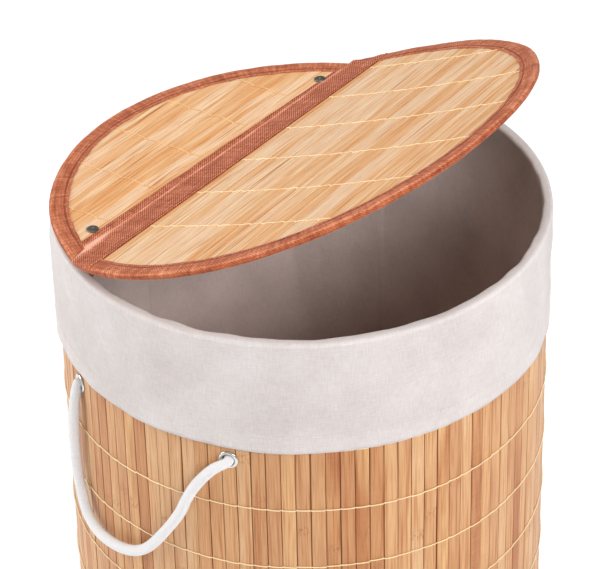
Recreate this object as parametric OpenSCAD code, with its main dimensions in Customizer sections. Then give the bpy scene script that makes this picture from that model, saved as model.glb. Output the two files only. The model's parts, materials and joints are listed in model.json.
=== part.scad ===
// Round bamboo laundry hamper: a slatted wall on inner hoops, a removable
// cotton liner folded over the rim, two rope handles and a two-piece lid that
// snaps to a bar across the mouth.
// Origin: middle of the base on the floor. +Z up, the lid opens towards -Y,
// the handles are on +X and -X.

/* [Basket] */
// Outside diameter of the slatted wall
wall_d = 350; // [320:1:400]
// Height from the floor to the top of the rim
rim_h = 595; // [450:5:700]
// Number of bamboo slats around the wall
slat_count = 108; // [96:12:120]
// Thickness of a wall slat
slat_t = 2; // [1.5:0.1:2.4]
// Open gap between two wall slats
slat_gap = 0.6; // [0.4:0.1:1.2]
// Spacing of the thread rows that hold the slats
thread_pitch = 50.6; // [40:0.1:60]
// Distance from the rim down to the first visible thread row
thread_first = 141.2; // [130:0.1:160]
// Thickness of the base board
board_t = 4; // [3:0.5:6]

/* [Liner] */
// Height of the cuff that is folded over the outside of the rim
cuff_h = 90; // [60:1:100]
// Thickness of the liner cloth
cloth_t = 0.7; // [0.5:0.1:1]
// Gap left between the lower bag and the wall for the rope knots
knot_space = 15; // [14:1:20]

/* [Handles] */
// Diameter of the rope
rope_d = 8; // [6:0.5:8]
// Distance from the rim down to the eyelets
eyelet_drop = 101.5; // [100:0.5:140]
// Slats between the middle of a handle and each of its eyelets
eyelet_slats = 7; // [7:1:8]
// Outside diameter of an eyelet
eyelet_d = 14; // [12:0.5:16]

/* [Lid] */
// Radius of the fixed rear segment of the lid
rear_r = 174; // [172:0.5:177]
// Radius of the front flap of the lid
front_r = 179.5; // [176:0.5:183]
// Distance from the middle of the basket back to the fold of the lid
hinge_y = 70.1; // [66:0.1:74]
// Angle of the front flap above level, as it stands
flap_angle = 24.7; // [0:0.1:60]
// How far the lid is turned on the rim
lid_twist = 3.3; // [0:0.1:4.5]
// How far the lid sits to the left of the middle of the basket
lid_shift = 7.3; // [0:0.1:9]
// Width of the edge binding on the faces of the lid
binding_w = 14; // [10:0.5:18]
// Width of the hinge band on the front flap
front_band_w = 27; // [20:0.5:36]
// Width of the hinge band on the rear segment
rear_band_w = 6.5; // [4:0.5:8]
// Spacing of the lid slats
lid_pitch = 10.2; // [8:0.1:12]

/* [Hidden] */

$fn = 96;
wall_r = wall_d / 2;
fit = 0.05;                    // running space between pieces that touch
clear = 0.3;                   // space between pieces of different bodies
reach = 300;                   // longer than any piece, for cutting shapes

// Wall, from the outside in
slat_step = 360 / slat_count;
slat_w = 2 * wall_r * tan(slat_step / 2) - slat_gap;
slat_bottom = 1;
slat_top = rim_h - 1.5;
thread_d = 0.6;
thread_h = 0.8;
thread_off = 0.15;             // threads and tapes stand this far off the slats
thread_rows = floor((rim_h - thread_first - 30) / thread_pitch);
tape_t = 0.65;
backing_t = 0.55;
backing_r = wall_r - slat_t - fit;
hoop_t = 2;
hoop_h = 24;
hoop_r = backing_r - backing_t - fit;
board_r = hoop_r - hoop_t - fit;
top_binding_h = 20;
bottom_binding_h = 20;
sole_t = 0.8;

// Liner
cuff_r = wall_r + thread_off + thread_d + 0.2;
rim_in_r = hoop_r - hoop_t - fit;
bag_r = wall_r - slat_t - knot_space;
bag_floor = board_t + 0.4;
taper_top = rim_h - 35;
taper_low = rim_h - 80;

// Bar across the mouth, its brackets and the press-stud posts
bar_y = 80;
bar_twist = 1.4;
bar_w = 12;
bar_t = 8;
bar_half = 138;
bar_top = rim_h - 0.2;
stud_x = 125.3;                // from the middle of the pair of studs to each of them
stud_shift = -6.1;             // the pair sits to the left, as the lid does
bracket_in = 132;              // inner end of a bracket, along the bar
bracket_w = 18;
bracket_h = 20;
bracket_long = 50;             // rough length, before the hoop's curve cuts it
bracket_mid = 0.5 - bracket_h / 2;       // its middle, from the top of the bar
rivet_r = 1.5;
rivet_head_r = 3;
rivet_head_t = 1.5;
rivet_drop = 15;               // rivet's depth below the top of the bar
rivet_seat = wall_r - 11;      // bottom of the recess that the rivet's head sits in
rivet_angle = 28.4;
rivet_lean = 1.1;              // the two brackets are turned with the bar
post_flange_r = 5;
post_stem_r = 1.6;
post_ball_r = 2;
post_h = 5;
post_flange_t = 1;
post_sunk = 3.5;               // how far the post goes into the bar

// Handles
rope_r = rope_d / 2;
eyelet_h = rim_h - eyelet_drop;
eyelet_angle = eyelet_slats * slat_step;
barrel_r = min(rope_r + 0.4, slat_w / 2 - 0.3);
barrel_wall = 0.3;
flange_t = 1.3;
washer_t = 0.7;
stub_end = wall_r + flange_t + 0.7;
hang_r = stub_end + 0.4 + rope_r;        // radius on which the hanging rope lies
knot_r = 10;
knot_t = 12;
knot_out = backing_r - backing_t - 0.2 - washer_t - 0.1;
pivot_s = hang_r * sin(eyelet_angle);
// Route of a handle rope: [sideways along the wall, height above the eyelets]
rope_route = [[pivot_s, 0], [64, -5], [57, -13.5], [49.5, -25], [43, -38], [37, -52.5], [26, -71],
    [12, -91], [-0.5, -103], [-15, -110], [-32, -113.5], [-49, -113.5], [-62.5, -107], [-69.5, -92],
    [-73.7, -78], [-75, -51], [-73, -26], [-pivot_s, 0]];
rope_sides = 10;

// Lid, in a frame whose origin is the fold line: top face at z = 0, rear at +Y
lid_t = 4.6;                   // over the bindings
lid_board_t = 1.6;
lid_slat_t = 1.8;
lid_tape_t = 0.6;              // thickness of the tape on each face
lid_slat_gap = 0.5;
lid_slat_end = 0.9;            // slats and boards stop this far inside the edge
fold_gap = 0.8;                // from the fold line to the edge of each half
rear_tilt = 3.1;               // the snaps hold the fold up a little
rear_centre = 69.3;            // from the fold line forward to the middle of each outline
front_centre = 75;
hinge_z = rim_h + clear + lid_t + (rear_r - rear_centre) * sin(rear_tilt);
lid_thread_pitch = 51.2;
lid_thread_x0 = -7.3;
lid_thread_w = 0.8;
lid_thread_t = 0.35;
cap_r = 4.25;
cap_h = 1;
cap_post_r = 1.5;
socket_r = 5;
socket_hole_r = 2.6;
socket_t = 2.3;

bamboo = [0.84, 0.62, 0.43];
pale_bamboo = [0.92, 0.73, 0.52];
thread = [0.92, 0.78, 0.52];
cotton = [0.88, 0.84, 0.81];
terracotta = [0.72, 0.40, 0.31];
steel = [0.75, 0.75, 0.74];
bronze = [0.38, 0.34, 0.28];
rope_white = [0.95, 0.94, 0.92];
board_brown = [0.62, 0.48, 0.36];
inner_cloth = [0.80, 0.76, 0.68];

// ---------- shared shapes ----------

// Ring between two radii and two heights
module ring(r_out, r_in, z0, z1) {
    rotate_extrude() translate([r_in, z0]) square([r_out - r_in, z1 - z0]);
}

// Puts a child on the wall at an angle, with the child's +Z pointing outward
module on_wall(angle, radius, height) {
    rotate([0, 0, angle]) translate([radius, 0, height]) rotate([0, 90, 0]) children();
}

// Puts a child in the frame of the bar: x along the bar, z at the bar's top
module at_bar() {
    translate([0, bar_y, bar_top]) rotate([0, 0, bar_twist]) children();
}

// Puts a child on one of the two press studs: side is -1 (left) or 1 (right)
module at_stud(side) {
    at_bar() translate([stud_shift + side * stud_x, 0, 0]) children();
}

// The lid's halves, moved from the fold frame to their places on the rim
module rear_place() {
    translate([-lid_shift, hinge_y, hinge_z]) rotate([0, 0, lid_twist]) rotate([-rear_tilt, 0, 0])
        children();
}
module front_place() {
    translate([-lid_shift, hinge_y, hinge_z]) rotate([0, 0, lid_twist]) rotate([-flap_angle, 0, 0])
        children();
}

// A stud's place in the fold frame, found by turning its place on the bar back
function stud_bar(side) = let (along = stud_shift + side * stud_x)
    [lid_shift + along * cos(bar_twist), bar_y - hinge_y + along * sin(bar_twist)];
function stud_local(side) = let (p = stud_bar(side))
    [p.x * cos(lid_twist) + p.y * sin(lid_twist), p.y * cos(lid_twist) - p.x * sin(lid_twist)];

// ---------- basket ----------

module slat(index) {
    rotate([0, 0, index * slat_step])
        translate([wall_r - slat_t, -slat_w / 2, slat_bottom])
            cube([slat_t, slat_w, slat_top - slat_bottom]);
}

// Whether a slat carries an eyelet
function is_drilled(index) = let (a = index % (slat_count / 2))
    a == eyelet_slats || a == slat_count / 2 - eyelet_slats;

module wall_slats() color(bamboo) {
    for (index = [0 : slat_count - 1]) {
        if (is_drilled(index)) {
            difference() {
                slat(index);
                on_wall(index * slat_step, wall_r - 2 * slat_t, eyelet_h)
                    cylinder(r = barrel_r + fit, h = 3 * slat_t);
            }
        } else {
            slat(index);
        }
    }
}

module wall_threads() color(thread) {
    for (row = [-2 : thread_rows])
        translate([0, 0, rim_h - thread_first - row * thread_pitch])
            ring(wall_r + thread_off + thread_d, wall_r + thread_off, -thread_h / 2, thread_h / 2);
}

module backing_cloth() color(inner_cloth) difference() {
    ring(backing_r, backing_r - backing_t, slat_bottom, slat_top);
    for (side = [0, 180], end = [-1, 1])
        on_wall(side + end * eyelet_angle, backing_r - 4 * backing_t, eyelet_h)
            cylinder(r = barrel_r + fit, h = 8 * backing_t);
}

module top_hoop() color(bamboo) difference() {
    ring(hoop_r, hoop_r - hoop_t, slat_top - hoop_h, slat_top - 1);
    for (side = [-1, 1]) rivet_hole(side);
}

module bottom_hoop() color(bamboo) {
    ring(hoop_r, hoop_r - hoop_t, slat_bottom, slat_bottom + hoop_h);
}

// Tape over the cut tops of the slats, under the liner
module top_binding() color(terracotta) {
    ring(wall_r + thread_off + tape_t, wall_r + thread_off, slat_top - top_binding_h, slat_top + fit);
    ring(wall_r + thread_off + tape_t, backing_r - backing_t, slat_top + fit, slat_top + fit + tape_t);
}

// Tape round the foot of the wall; its sole stands on the floor
module bottom_binding() color(terracotta) {
    ring(wall_r + thread_off + sole_t, wall_r + thread_off, 0, bottom_binding_h);
    ring(wall_r + thread_off + 0.01, board_r + 2 * fit, 0, sole_t);
}

module base_board() color(board_brown) cylinder(r = board_r, h = board_t);

// Bag and cuff of one cloth: down the inside, over the rim, down the outside
module liner() color(cotton) difference() {
    rotate_extrude() polygon([
        [cuff_r, rim_h - cuff_h], [cuff_r + cloth_t, rim_h - cuff_h],
        [cuff_r + cloth_t, rim_h], [rim_in_r - cloth_t, rim_h],
        [rim_in_r - cloth_t, taper_top], [bag_r - cloth_t, taper_low],
        [bag_r - cloth_t, bag_floor + cloth_t], [0, bag_floor + cloth_t],
        [0, bag_floor], [bag_r, bag_floor], [bag_r, taper_low], [rim_in_r, taper_top],
        [rim_in_r, rim_h - cloth_t], [cuff_r, rim_h - cloth_t]]);
    // Slits that the brackets reach through to the hoop
    intersection() {
        cylinder(r = hoop_r, h = rim_h);
        for (side = [-1, 1])
            at_bar() translate([side * (bracket_in + bracket_long / 2), 0, bracket_mid])
                cube([bracket_long + 2 * clear, bracket_w + 2 * clear, bracket_h + 2 * clear],
                    center = true);
    }
}

// ---------- bar, brackets and press studs ----------

module lid_bar() color(bamboo) at_bar() difference() {
    translate([-bar_half, -bar_w / 2, -bar_t]) cube([2 * bar_half, bar_w, bar_t]);
    for (side = [-1, 1])
        translate([stud_shift + side * stud_x, 0, -post_sunk - fit])
            cylinder(r = post_stem_r + fit, h = post_sunk + 1);
}

// Puts a child on a bracket's rivet line; the child's Z is its distance from the middle
module rivet_line(side) {
    on_wall(90 - side * (90 - rivet_angle) + rivet_lean, 0, bar_top - rivet_drop) children();
}
module rivet_hole(side) {
    rivet_line(side) translate([0, 0, rivet_seat - 1]) cylinder(r = rivet_r + fit, h = 20);
}

// Cup for one end of the bar, shaped to the inside of the hoop
module bar_bracket(side) color(board_brown) difference() {
    intersection() {
        at_bar() translate([side * (bracket_in + bracket_long / 2), 0, bracket_mid])
            cube([bracket_long, bracket_w, bracket_h], center = true);
        cylinder(r = hoop_r - hoop_t - 3 * fit, h = rim_h);
    }
    at_bar() translate([side * (bar_half / 2 + fit), 0, 0])
        cube([bar_half + fit, bar_w + 2 * fit, 2 * bar_t + 2 * fit], center = true);
    rivet_hole(side);
    rivet_line(side) translate([0, 0, rivet_seat - 30]) cylinder(r = rivet_head_r + fit, h = 30);
}

module bar_rivet(side) color(steel) rivet_line(side) {
    translate([0, 0, rivet_seat]) cylinder(r = rivet_r, h = hoop_r - clear - rivet_seat);
    translate([0, 0, rivet_seat - rivet_head_t]) cylinder(r = rivet_head_r, h = rivet_head_t);
}

module stud_post(side) color(steel) at_stud(side) {
    translate([0, 0, -post_sunk]) cylinder(r = post_stem_r, h = post_sunk + 0.1);
    cylinder(r = post_flange_r, h = post_flange_t);
    cylinder(r = post_stem_r, h = post_h - post_ball_r);
    translate([0, 0, post_h - post_ball_r]) sphere(r = post_ball_r);
}

// ---------- rope handles ----------

// Eyelet: a rolled flange outside and a barrel through the wall
module eyelet(angle) color(steel) on_wall(angle, 0, eyelet_h) {
    rotate_extrude() {
        translate([barrel_r - barrel_wall, wall_r - slat_t - 1.6])
            square([barrel_wall, slat_t + 2]);
        intersection() {
            translate([(eyelet_d / 2 + barrel_r - barrel_wall) / 2, wall_r + fit])
                circle(r = (eyelet_d / 2 - barrel_r + barrel_wall) / 2);
            translate([0, wall_r + fit]) square([eyelet_d, flange_t]);
        }
    }
}

module washer(angle) color(steel) on_wall(angle, knot_out + 0.1, eyelet_h) difference() {
    cylinder(r = eyelet_d / 2, h = washer_t);
    translate([0, 0, -1]) cylinder(r = barrel_r + fit, h = washer_t + 2);
}

// Knot behind the wall and the short end of rope that comes out of the eyelet
module knot(angle) color(rope_white) on_wall(angle, 0, eyelet_h) {
    rotate_extrude() {
        translate([0, knot_out - knot_t]) square([knot_r - knot_t / 2, knot_t]);
        intersection() {
            translate([knot_r - knot_t / 2, knot_out - knot_t / 2]) circle(r = knot_t / 2);
            square([knot_r, wall_r]);
        }
        translate([0, knot_out - 1]) square([barrel_r - barrel_wall - 0.1, stub_end - knot_out + 1]);
    }
}

// Point of the hanging rope on the cylinder that it lies on
function hang(p) = [sqrt(hang_r * hang_r - p[0] * p[0]), p[0], eyelet_h + p[1]];
function unit(v) = v / norm(v);
function heading(points, i) = unit(points[min(i + 1, len(points) - 1)] - points[max(i - 1, 0)]);
function ring_points(centre, along, radius) = let (
    side = unit([1, 0, 0] - along.x * along),
    up = cross(along, side))
    [for (k = [0 : rope_sides - 1]) let (a = 360 * k / rope_sides)
        centre + radius * (cos(a) * side + sin(a) * up)];

// One closed tube through the route's points
module rope_tube(points, radius) {
    rings = [for (i = [0 : len(points) - 1]) ring_points(points[i], heading(points, i), radius)];
    last = (len(points) - 1) * rope_sides;
    walls = [for (i = [0 : len(points) - 2], k = [0 : rope_sides - 1])
        let (n = (k + 1) % rope_sides, a = i * rope_sides, b = a + rope_sides)
        [a + k, b + k, b + n, a + n]];
    start_cap = [[for (k = [0 : rope_sides - 1]) k]];
    end_cap = [[for (k = [rope_sides - 1 : -1 : 0]) last + k]];
    polyhedron(points = [for (r = rings) each r], faces = concat(start_cap, walls, end_cap));
}

module rope(angle) color(rope_white) rotate([0, 0, angle])
    rope_tube([for (p = rope_route) hang(p)], rope_r);

// ---------- lid ----------

function centre_of(rear) = rear ? rear_centre : front_centre;

// Everything of one lid half inside a radius, past the given distance from the fold
module half_disc(radius, start, rear) {
    intersection() {
        translate([0, -centre_of(rear), -reach / 2]) cylinder(r = radius, h = reach, $fn = 180);
        translate([0, (rear ? 1 : -1) * (start + reach), 0]) cube(2 * reach, center = true);
    }
}

module stud_holes() {
    for (side = [-1, 1])
        translate([stud_local(side).x, stud_local(side).y, -2 * lid_t])
            cylinder(r = cap_post_r + fit, h = 4 * lid_t);
}

module lid_board(radius, rear) color(board_brown) difference() {
    intersection() {
        half_disc(radius - lid_slat_end, 2 * fold_gap, rear);
        translate([-reach, -reach, -lid_t + lid_tape_t]) cube([2 * reach, 2 * reach, lid_board_t]);
    }
    stud_holes();
}

module lid_slats(radius, rear) color(pale_bamboo) difference() {
    intersection() {
        half_disc(radius - lid_slat_end, 2 * fold_gap, rear);
        for (k = [0 : floor((radius + centre_of(rear)) / lid_pitch)])
            translate([0, (rear ? 1 : -1) * (2 * fold_gap + (k + 0.5) * lid_pitch),
                -lid_tape_t - lid_slat_t / 2])
                cube([2 * reach, lid_pitch - lid_slat_gap, lid_slat_t], center = true);
    }
    stud_holes();
}

// Rows of thread across the slats, between the hinge band and the edge binding
module lid_threads(radius, band, rear) color(thread) intersection() {
    half_disc(radius - binding_w - fit, band + fit, rear);
    for (row = [-2 : 3])
        translate([lid_thread_x0 + row * lid_thread_pitch - lid_thread_w / 2, -reach, -lid_tape_t])
            cube([lid_thread_w, 2 * reach, lid_thread_t]);
}

// Tape folded round the curved edge
module lid_binding(radius, rear) color(terracotta) intersection() {
    half_disc(radius + 1, fold_gap, rear);
    translate([0, -centre_of(rear), 0]) rotate_extrude($fn = 180) difference() {
        translate([radius - binding_w, -lid_t]) square([binding_w, lid_t]);
        translate([0, -lid_t + lid_tape_t - fit])
            square([radius - lid_slat_end + fit, lid_t - 2 * lid_tape_t + 2 * fit]);
    }
}

// Tape folded round the straight edge at the fold
module lid_band(radius, width, rear) color(terracotta) difference() {
    intersection() {
        half_disc(radius - binding_w - fit, fold_gap, rear);
        mirror([0, rear ? 0 : 1, 0]) difference() {
            translate([-reach, fold_gap, -lid_t]) cube([2 * reach, width - fold_gap, lid_t]);
            translate([-2 * reach, 2 * fold_gap - fit, -lid_t + lid_tape_t - fit])
                cube([4 * reach, width, lid_t - 2 * lid_tape_t + 2 * fit]);
        }
    }
    stud_holes();
}

module stud_cap(side) color(bronze) rear_place() translate([stud_local(side).x, stud_local(side).y, 0]) {
    intersection() {
        dome_r = (cap_r * cap_r + cap_h * cap_h) / (2 * cap_h);
        translate([0, 0, cap_h - dome_r]) sphere(r = dome_r, $fn = 180);
        cylinder(r = cap_r, h = cap_h);
    }
    translate([0, 0, -lid_t - fit]) cylinder(r = cap_post_r, h = lid_t + 0.2);
}

module stud_socket(side) color(steel) rear_place()
    translate([stud_local(side).x, stud_local(side).y, -lid_t - fit - socket_t]) difference() {
        cylinder(r = socket_r, h = socket_t);
        translate([0, 0, -1]) cylinder(r = socket_hole_r, h = socket_t + 2);
    }

left_front = 180 + eyelet_angle;
left_rear = 180 - eyelet_angle;
right_front = -eyelet_angle;
right_rear = eyelet_angle;

wall_slats();
wall_threads();
backing_cloth();
top_hoop();
bottom_hoop();
top_binding();
bottom_binding();
base_board();
liner();
lid_bar();
bar_bracket(-1);  // bar_bracket_left
bar_bracket(1);  // bar_bracket_right
bar_rivet(-1);  // bar_rivet_left
bar_rivet(1);  // bar_rivet_right
stud_post(-1);  // stud_post_left
stud_post(1);  // stud_post_right
eyelet(left_front);  // eyelet_left_front
eyelet(left_rear);  // eyelet_left_rear
eyelet(right_front);  // eyelet_right_front
eyelet(right_rear);  // eyelet_right_rear
washer(left_front);  // washer_left_front
washer(left_rear);  // washer_left_rear
washer(right_front);  // washer_right_front
washer(right_rear);  // washer_right_rear
knot(left_front);  // knot_left_front
knot(left_rear);  // knot_left_rear
knot(right_front);  // knot_right_front
knot(right_rear);  // knot_right_rear
rear_place() lid_board(rear_r, true);  // lid_rear_board
rear_place() lid_slats(rear_r, true);  // lid_rear_slats
rear_place() lid_threads(rear_r, rear_band_w, true);  // lid_rear_threads
rear_place() lid_binding(rear_r, true);  // lid_rear_binding
rear_place() lid_band(rear_r, rear_band_w, true);  // lid_rear_band
stud_cap(-1);  // stud_cap_left
stud_cap(1);  // stud_cap_right
stud_socket(-1);  // stud_socket_left
stud_socket(1);  // stud_socket_right
front_place() lid_board(front_r, false);  // lid_front_board
front_place() lid_slats(front_r, false);  // lid_front_slats
front_place() lid_threads(front_r, front_band_w, false);  // lid_front_threads
front_place() lid_binding(front_r, false);  // lid_front_binding
front_place() lid_band(front_r, front_band_w, false);  // lid_front_band
rope(180);  // rope_left
rope(0);  // rope_right
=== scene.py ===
import json
import math

import bmesh
import bpy
import numpy as np
from mathutils import Matrix, Vector


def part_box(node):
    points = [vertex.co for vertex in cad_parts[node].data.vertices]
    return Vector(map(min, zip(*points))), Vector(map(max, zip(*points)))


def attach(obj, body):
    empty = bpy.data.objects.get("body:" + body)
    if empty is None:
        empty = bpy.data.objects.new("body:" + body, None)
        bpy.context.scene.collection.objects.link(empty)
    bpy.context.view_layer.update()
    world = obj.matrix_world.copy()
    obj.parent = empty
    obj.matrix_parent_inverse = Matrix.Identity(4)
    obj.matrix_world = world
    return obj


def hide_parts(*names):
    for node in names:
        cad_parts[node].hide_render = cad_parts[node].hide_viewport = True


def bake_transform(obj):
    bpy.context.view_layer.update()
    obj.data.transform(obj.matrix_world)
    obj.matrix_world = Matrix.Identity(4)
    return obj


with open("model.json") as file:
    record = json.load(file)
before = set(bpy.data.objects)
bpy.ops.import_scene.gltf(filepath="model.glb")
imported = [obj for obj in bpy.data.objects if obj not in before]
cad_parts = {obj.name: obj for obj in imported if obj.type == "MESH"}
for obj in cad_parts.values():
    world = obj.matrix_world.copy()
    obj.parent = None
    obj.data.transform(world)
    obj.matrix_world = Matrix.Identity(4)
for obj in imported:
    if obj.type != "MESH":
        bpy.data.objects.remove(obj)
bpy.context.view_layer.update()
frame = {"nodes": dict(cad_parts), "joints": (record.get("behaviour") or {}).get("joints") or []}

# Round bamboo laundry hamper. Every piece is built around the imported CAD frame, in metres.

scene = bpy.context.scene
TAU = 2 * math.pi
MM = 0.001


def centre(node):
    low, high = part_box(node)
    return (low + high) / 2


def joint(name):
    return next(j for j in frame["joints"] if j["name"] == name)


# ---------- driving sizes, read from the frame ----------

WALL_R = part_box("backing_cloth")[1].x + 2.05 * MM      # outer face of the slats
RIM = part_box("liner")[1].z
SLAT_LOW, SLAT_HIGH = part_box("wall_slats")[0].z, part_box("wall_slats")[1].z
SLATS = 108
SLAT_PITCH = TAU / SLATS
SLAT_W = 9.76 * MM
SLAT_T = 2 * MM
THREAD_ROWS = 11
THREAD_TOP = RIM - 40 * MM                              # highest thread row, under the cuff
THREAD_PITCH = 50.6 * MM
EYELET_Z = joint("left_handle_swing")["pos_m"][2]
EYELET_ANGLE = 7 * SLAT_PITCH
EYELETS = {
    "left_front": math.pi + EYELET_ANGLE, "left_rear": math.pi - EYELET_ANGLE,
    "right_front": -EYELET_ANGLE, "right_rear": EYELET_ANGLE,
}
PRINT_R = 175 * MM                                      # radius at which round patterns are drawn

# ---------- camera ----------

CAMERA_AT = Vector((-1.32631, -1.15621, 1.7425))
CAMERA_HEADING = (0.752915, 0.658148)
CAMERA_PITCH = math.radians(34.78)
CAMERA_ROLL = -0.02385
camera_data = bpy.data.cameras.new("camera")
camera_data.lens, camera_data.sensor_width = 179.16, 36
camera_data.clip_start, camera_data.clip_end = 0.1, 30
camera = bpy.data.objects.new("camera", camera_data)
scene.collection.objects.link(camera)
scene.camera = camera
ahead = Vector((*CAMERA_HEADING, 0)).normalized()
level = Vector((ahead.y, -ahead.x, 0))
forward = ahead * math.cos(CAMERA_PITCH) - Vector((0, 0, math.sin(CAMERA_PITCH)))
above = level.cross(forward)
right = level * math.cos(CAMERA_ROLL) + above * math.sin(CAMERA_ROLL)
upward = right.cross(forward)
camera.matrix_world = Matrix.Translation(CAMERA_AT) @ Matrix(
    [[right[i], upward[i], -forward[i]] for i in range(3)]
).to_4x4()

# ---------- light and floor ----------

scene.view_settings.view_transform = "Standard"
world = bpy.data.worlds.new("studio")
scene.world = world
world.use_nodes = True
world.node_tree.nodes["Background"].inputs["Color"].default_value = (1.0, 0.995, 0.99, 1)
world.node_tree.nodes["Background"].inputs["Strength"].default_value = 0.44


def softbox(name, place, aim, size, power, colour=(1, 1, 1)):
    light = bpy.data.lights.new(name, "AREA")
    light.shape, light.size, light.size_y = "RECTANGLE", size[0], size[1]
    light.energy, light.color = power, colour
    lamp = bpy.data.objects.new(name, light)
    scene.collection.objects.link(lamp)
    lamp.location = place
    lamp.rotation_mode = "QUATERNION"
    lamp.rotation_quaternion = (Vector(aim) - Vector(place)).to_track_quat("-Z", "Y")


# Each softbox: where it stands, what it faces, its size in metres, its watts and its colour
MIDDLE = (0, 0, 0.4)
softbox("left", (-1.6, 2.3, 1.7), MIDDLE, (1.6, 2.0), 55, (1.0, 0.99, 0.98))
softbox("front", (-0.54, -2.03, 2.0), (0, 0, 0.5), (1.0, 0.7), 38, (1.0, 0.985, 0.975))
softbox("right", (1.6, -2.0, 1.6), MIDDLE, (1.6, 1.8), 12, (0.93, 0.97, 1.0))
softbox("top", (-0.3, -0.2, 3.2), MIDDLE, (2.2, 2.2), 15)


# ---------- geometry helpers ----------

def waves(seed, *coords, size=1.0, layers=9):
    """A smooth random field, mostly between -1 and 1, whose bumps are about size across."""
    draw = np.random.default_rng(seed)
    total = 0.0
    for _ in range(layers):
        way = draw.normal(size=len(coords))
        way *= TAU / size * draw.uniform(0.6, 1.5) / np.linalg.norm(way)
        total = total + np.sin(sum(k * c for k, c in zip(way, coords)) + draw.uniform(0, TAU))
    return total / math.sqrt(layers)


def step(low, high, x):
    """Smooth rise from 0 at low to 1 at high."""
    t = np.clip((np.asarray(x, float) - low) / (high - low), 0, 1)
    return t * t * (3 - 2 * t)


def bell(x, middle, width):
    """A bell curve, 1 at middle and gone about two widths away."""
    return np.exp(-((x - middle) / width) ** 2)


def joined(*parts):
    """Arrays that broadcast together, side by side in a new last axis."""
    return np.stack(np.broadcast_arrays(*parts), -1)


def lengths(path):
    """The distance along a path to each of its points."""
    return np.concatenate([[0], np.cumsum(np.linalg.norm(np.diff(path, axis=0), axis=1))])


class Pile:
    """Points, faces and one vector per point, gathered for one mesh."""

    def __init__(self):
        self.points, self.tags, self.faces, self.count = [], [], [], 0

    def add(self, points, tags, faces):
        points = np.asarray(points, float).reshape(-1, 3)
        self.points.append(points)
        self.tags.append(np.broadcast_to(np.asarray(tags, float).reshape(-1, 3), points.shape))
        self.faces += [[i + self.count for i in face] for face in faces]
        self.count += len(points)

    def grid(self, rings, tags, round_it=True, caps=True, join_ends=False):
        """Rows of points joined to each other; round_it closes each row, caps close the ends."""
        rows, cols = rings.shape[:2]
        r = np.arange(rows if join_ends else rows - 1)[:, None]
        c = np.arange(cols if round_it else cols - 1)[None, :]
        r2, c2 = (r + 1) % rows, (c + 1) % cols
        quads = np.stack([r * cols + c, r * cols + c2, r2 * cols + c2, r2 * cols + c], -1)
        faces = quads.reshape(-1, 4).tolist()
        if caps and round_it and not join_ends:
            faces += [list(range(cols))[::-1], list(range((rows - 1) * cols, rows * cols))]
        self.add(rings, tags, faces)

    def tube(self, path, radius, sides, tags=(0, 0, 0)):
        self.grid(tube_rings(path, radius, sides)[0], tags)

    def make(self, name, material, body=None, sharp=40, node=None, slot=None):
        """A smooth mesh object. It rides on body and stands for a CAD node. slot is not used."""
        mesh = bpy.data.meshes.new(name)
        mesh.from_pydata(np.concatenate(self.points).tolist(), [], self.faces)
        layer = mesh.attributes.new("pattern", "FLOAT_VECTOR", "POINT")
        layer.data.foreach_set("vector", np.concatenate(self.tags).astype(np.float32).ravel())
        solid = bmesh.new()
        solid.from_mesh(mesh)
        bmesh.ops.recalc_face_normals(solid, faces=solid.faces)
        solid.to_mesh(mesh)
        solid.free()
        mesh.polygons.foreach_set("use_smooth", [True] * len(mesh.polygons))
        mesh.set_sharp_from_angle(angle=math.radians(sharp))
        mesh.materials.append(material)
        piece = bpy.data.objects.new(name, mesh)
        scene.collection.objects.link(piece)
        if body:
            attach(piece, body)
        if node:
            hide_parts(node)
        return piece


def tube_rings(path, radius, sides):
    """Rings of points round a path, with little twist from one to the next."""
    path = np.asarray(path, float)
    ways = np.gradient(path, axis=0)
    ways /= np.linalg.norm(ways, axis=1)[:, None]
    first = np.array([0.0, 0, 1]) if abs(ways[0, 2]) < 0.9 else np.array([1.0, 0, 0])
    ups = np.empty_like(path)
    for i, way in enumerate(ways):
        first = first - (first @ way) * way
        first /= np.linalg.norm(first)
        ups[i] = first
    sideways = np.cross(ways, ups)
    a = np.linspace(0, TAU, sides, endpoint=False)
    radius = np.broadcast_to(radius, len(path))[:, None, None]
    out = np.cos(a)[None, :, None] * ups[:, None] + np.sin(a)[None, :, None] * sideways[:, None]
    return path[:, None] + radius * out, a


def smooth_route(points, count, rounds=2):
    """Evenly spaced points on a Catmull-Rom curve through the given ones."""
    p = np.asarray(points, float)
    p = np.concatenate([[2 * p[0] - p[1]], p, [2 * p[-1] - p[-2]]])
    out = []
    for i in range(1, len(p) - 2):
        for t in np.linspace(0, 1, 24, endpoint=False):
            out.append(0.5 * (2 * p[i] + (p[i + 1] - p[i - 1]) * t
                              + (2 * p[i - 1] - 5 * p[i] + 4 * p[i + 1] - p[i + 2]) * t ** 2
                              + (3 * p[i] - p[i - 1] - 3 * p[i + 1] + p[i + 2]) * t ** 3))
    out = np.array(out + [p[-2]])
    for _ in range(rounds):
        out[1:-1] = (out[:-2] + 2 * out[1:-1] + out[2:]) / 4
    along = lengths(out)
    at = np.linspace(0, along[-1], count)
    return np.stack([np.interp(at, along, out[:, k]) for k in range(3)], 1), at


def moved(points, matrix):
    m = np.array(matrix)
    return np.asarray(points) @ m[:3, :3].T + m[:3, 3]


def lathe(pile, profile, matrix, sides, join_ends=False):
    """Turns a profile of (radius, height) points about the matrix's Z."""
    a = np.linspace(0, TAU, sides, endpoint=False)
    rings = np.array([[(r * math.cos(t), r * math.sin(t), h) for t in a] for r, h in profile])
    pile.grid(moved(rings, matrix), (0, 0, 0), join_ends=join_ends)


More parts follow.
